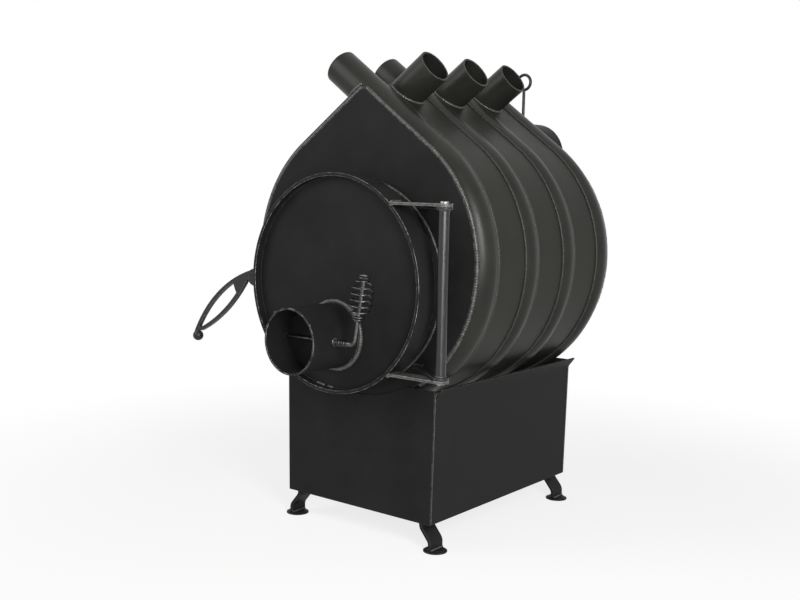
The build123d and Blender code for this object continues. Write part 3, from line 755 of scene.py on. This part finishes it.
strapWeld = {
    "radius": 0.0022, "clear": 0.0008, "inside": 0.0030, "short": 0.001,
    "tackStart": 0.0015, "tackEnd": 0.0060, "tackClear": 0.0004,
}
lugWeld = {
    "radius": 0.0013, "clear": 0.0008, "start": 0.002, "end": 0.022, "off": 0.0012,
    "ringInside": 0.0012, "ringOut": 0.0002,
}


def makeHingeWelds():
    strapRuns = []
    for low, high in (corners(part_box("strap_top")), corners(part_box("strap_bottom"))):
        x, y = low.x + strapWeld["inside"], low.y - strapWeld["tackClear"]
        for z in (low.z - strapWeld["clear"], high.z + strapWeld["clear"]):
            strapRuns.append((lineRun((x, low.y + strapWeld["short"], z),
                                      (x, high.y - strapWeld["short"], z)), False))
        strapRuns.append((lineRun((low.x + strapWeld["tackStart"], y, low.z),
                                  (low.x + strapWeld["tackEnd"], y, low.z)), False))
    layBeads("strapWelds", "door", strapRuns, strapWeld["radius"])

    lugRuns = []
    for low, high in (corners(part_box("hinge_lug_top")), corners(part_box("hinge_lug_bottom"))):
        y = high.y - lugWeld["off"]
        for z in (low.z - lugWeld["clear"], high.z + lugWeld["clear"]):
            lugRuns.append((lineRun((low.x + lugWeld["start"], y, z),
                                    (low.x + lugWeld["end"], y, z)), False))
    low, high = corners(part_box("hinge_barrel"))
    middle = (low + high) / 2
    ringRadius = (high.x - low.x) / 2 + lugWeld["ringOut"]
    for z in (low.z + lugWeld["ringInside"], high.z - lugWeld["ringInside"]):
        lugRuns.append((circleRun((middle.x, middle.y, z), ringRadius, right, inward), True))
    layBeads("lugWelds", "stove", lugRuns, lugWeld["radius"])


# Beads above and below the latch bearing, where it meets the door's ring

bearingWeld = {"radius": 0.0028, "inside": 0.0026, "short": 0.001, "away": 0.0072}


def makeBearingWelds():
    low, high = corners(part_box("latch_bearing"))
    x = high.x - bearingWeld["inside"]
    runs = []
    for side in (-1, 1):
        z = ((low + high) / 2).z + side * bearingWeld["away"]
        runs.append((lineRun((x, low.y + bearingWeld["short"], z),
                             (x, high.y - bearingWeld["short"], z)), False))
    layBeads("bearingWelds", "door", runs, bearingWeld["radius"])


# Welds of the stand: down its four corners, and at the foot of each leg

cornerWeld = {
    "radius": 0.0011,
    "taper": 0.0035,       # how far each side leans in at the bottom
    "lipDrop": 0.008,      # the lips bend out this far below the top
    "rise": 0.002,
}
footWeld = {"radius": 0.0020, "barHalf": 0.0025, "beside": 0.001, "clear": 0.0006, "short": 0.002}


def makeStandWelds():
    panelLow, panelHigh = corners(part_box("stand_front"))
    sheetHigh = corners(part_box("stand_right"))[1]
    runs = []
    for side in (-1, 1):
        for back in (-1, 1):
            bottom = (side * (panelHigh.x - cornerWeld["taper"]), back * sheetHigh.y,
                      panelLow.z + cornerWeld["rise"])
            top = (side * panelHigh.x, back * sheetHigh.y, panelHigh.z - cornerWeld["lipDrop"])
            runs.append((lineRun(bottom, top), False))
    layBeads("standCornerWelds", "stove", runs, cornerWeld["radius"])

    footRuns = []
    for corner in ("front_right", "front_left", "rear_right", "rear_left"):
        discLow, discHigh = corners(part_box("foot_" + corner))
        legLow, legHigh = corners(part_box("leg_" + corner))
        z = discHigh.z + footWeld["clear"]
        for side in (-1, 1):
            x = (discLow.x + discHigh.x) / 2 + side * (footWeld["barHalf"] + footWeld["beside"])
            footRuns.append((lineRun((x, legLow.y + footWeld["short"], z),
                                     (x, legHigh.y - footWeld["short"], z)), False))
    layBeads("footWelds", "stove", footRuns, footWeld["radius"])


makeDiscWelds()
makePipeWelds()
makeCollarAndFlueWelds()
makeHingeWelds()
makeBearingWelds()
makeStandWelds()
print("door, flue, hinge, latch and stand welds laid")
